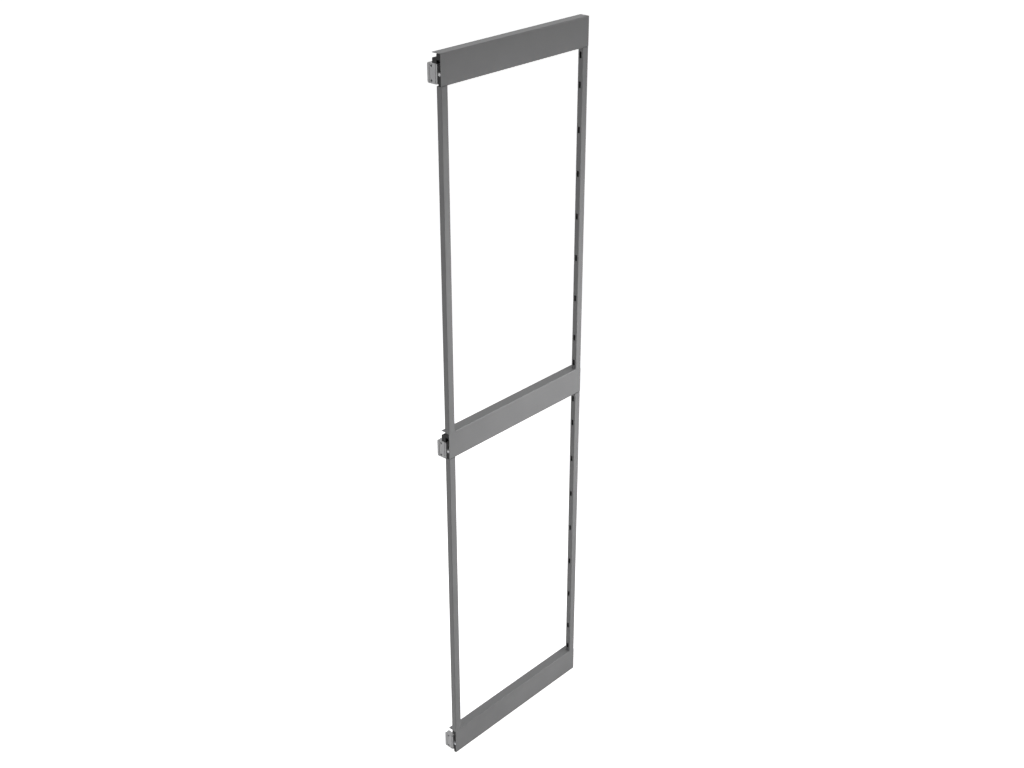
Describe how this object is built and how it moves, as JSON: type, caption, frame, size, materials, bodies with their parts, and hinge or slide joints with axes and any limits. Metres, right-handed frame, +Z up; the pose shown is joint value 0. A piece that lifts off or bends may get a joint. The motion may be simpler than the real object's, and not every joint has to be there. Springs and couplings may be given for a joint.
{
  "type": "pull out pantry frame",
  "caption": "Tall side frame of slotted posts and folded cover rails on telescopic roller runners, pulled out of a cabinet by its door.",
  "frame": {"origin": "on the cabinet wall, halfway along the bottom runner and level with its screw holes", "axes": "+X to the rear of the cabinet, so the frame pulls out along -X; +Y into the cabinet wall, with the cover rails facing -Y; +Z up"},
  "size_m": [0.49, 0.044, 1.89],
  "materials": {
    "powder_steel": "satin grey powder coat",
    "zinc_steel": "zinc plated",
    "die_cast_zinc": "satin",
    "black_plastic": "moulded",
    "cage_plastic": "moulded",
    "roller_plastic": "smooth",
    "buffer_rubber": "matt",
    "screw_steel": "zinc plated"
  },
  "bodies": {
    "cabinet_side": {"bottom_cabinet_rail": "zinc_steel", "bottom_closing_buffer": "buffer_rubber", "middle_cabinet_rail": "zinc_steel", "middle_closing_buffer": "buffer_rubber", "top_cabinet_rail": "zinc_steel", "top_closing_buffer": "buffer_rubber"},
    "frame": {"bottom_cover_rail": "powder_steel", "middle_cover_rail": "powder_steel", "top_cover_rail": "powder_steel", "front_lower_post": "powder_steel", "front_upper_post": "powder_steel", "rear_lower_post": "powder_steel", "rear_upper_post": "powder_steel", "bottom_front_corner_block": "black_plastic", "bottom_rear_corner_block": "black_plastic", "middle_front_corner_block": "black_plastic", "middle_rear_corner_block": "black_plastic", "top_front_corner_block": "black_plastic", "top_rear_corner_block": "black_plastic", "bottom_door_bracket": "die_cast_zinc", "middle_door_bracket": "die_cast_zinc", "top_door_bracket": "die_cast_zinc", "middle_height_adjuster": "black_plastic", "top_height_adjuster": "black_plastic", "bracket_clamp_screws": "screw_steel", "corner_block_nuts": "screw_steel", "bottom_drawer_rail": "zinc_steel", "bottom_drawer_rail_cap": "black_plastic", "bottom_rail_screws": "screw_steel", "middle_drawer_rail": "zinc_steel", "middle_drawer_rail_cap": "black_plastic", "middle_rail_screws": "screw_steel", "top_drawer_rail": "zinc_steel", "top_drawer_rail_cap": "black_plastic", "top_rail_screws": "screw_steel"},
    "bottom_beam": {"bottom_intermediate_beam": "zinc_steel", "bottom_beam_cap": "black_plastic", "bottom_beam_stop": "black_plastic"},
    "bottom_outer_roller_cage": {"bottom_outer_cage": "cage_plastic", "bottom_outer_rollers": "roller_plastic"},
    "bottom_inner_roller_cage": {"bottom_inner_cage": "cage_plastic", "bottom_inner_rollers": "roller_plastic"},
    "middle_beam": {"middle_intermediate_beam": "zinc_steel", "middle_beam_cap": "black_plastic", "middle_beam_stop": "black_plastic"},
    "middle_outer_roller_cage": {"middle_outer_cage": "cage_plastic", "middle_outer_rollers": "roller_plastic"},
    "middle_inner_roller_cage": {"middle_inner_cage": "cage_plastic", "middle_inner_rollers": "roller_plastic"},
    "top_beam": {"top_intermediate_beam": "zinc_steel", "top_beam_cap": "black_plastic", "top_beam_stop": "black_plastic"},
    "top_outer_roller_cage": {"top_outer_cage": "cage_plastic", "top_outer_rollers": "roller_plastic"},
    "top_inner_roller_cage": {"top_inner_cage": "cage_plastic", "top_inner_rollers": "roller_plastic"}
  },
  "joints": [
    {"name": "pull_out", "type": "slide", "parent": "cabinet_side", "child": "frame", "axis": [-1, 0, 0], "range_m": [0, 0.45]},
    {"name": "bottom_beam_slide", "type": "slide", "parent": "cabinet_side", "child": "bottom_beam", "axis": [-1, 0, 0], "range_m": [0, 0.225]},
    {"name": "bottom_outer_roller_cage_slide", "type": "slide", "parent": "cabinet_side", "child": "bottom_outer_roller_cage", "axis": [-1, 0, 0], "range_m": [0, 0.1125]},
    {"name": "bottom_inner_roller_cage_slide", "type": "slide", "parent": "cabinet_side", "child": "bottom_inner_roller_cage", "axis": [-1, 0, 0], "range_m": [0, 0.3375]},
    {"name": "middle_beam_slide", "type": "slide", "parent": "cabinet_side", "child": "middle_beam", "axis": [-1, 0, 0], "range_m": [0, 0.225]},
    {"name": "middle_outer_roller_cage_slide", "type": "slide", "parent": "cabinet_side", "child": "middle_outer_roller_cage", "axis": [-1, 0, 0], "range_m": [0, 0.1125]},
    {"name": "middle_inner_roller_cage_slide", "type": "slide", "parent": "cabinet_side", "child": "middle_inner_roller_cage", "axis": [-1, 0, 0], "range_m": [0, 0.3375]},
    {"name": "top_beam_slide", "type": "slide", "parent": "cabinet_side", "child": "top_beam", "axis": [-1, 0, 0], "range_m": [0, 0.225]},
    {"name": "top_outer_roller_cage_slide", "type": "slide", "parent": "cabinet_side", "child": "top_outer_roller_cage", "axis": [-1, 0, 0], "range_m": [0, 0.1125]},
    {"name": "top_inner_roller_cage_slide", "type": "slide", "parent": "cabinet_side", "child": "top_inner_roller_cage", "axis": [-1, 0, 0], "range_m": [0, 0.3375]}
  ],
  "couplings": [
    {"joint": "bottom_beam_slide", "follows": "pull_out", "ratio": 0.5},
    {"joint": "bottom_outer_roller_cage_slide", "follows": "pull_out", "ratio": 0.25},
    {"joint": "bottom_inner_roller_cage_slide", "follows": "pull_out", "ratio": 0.75},
    {"joint": "middle_beam_slide", "follows": "pull_out", "ratio": 0.5},
    {"joint": "middle_outer_roller_cage_slide", "follows": "pull_out", "ratio": 0.25},
    {"joint": "middle_inner_roller_cage_slide", "follows": "pull_out", "ratio": 0.75},
    {"joint": "top_beam_slide", "follows": "pull_out", "ratio": 0.5},
    {"joint": "top_outer_roller_cage_slide", "follows": "pull_out", "ratio": 0.25},
    {"joint": "top_inner_roller_cage_slide", "follows": "pull_out", "ratio": 0.75}
  ]
}
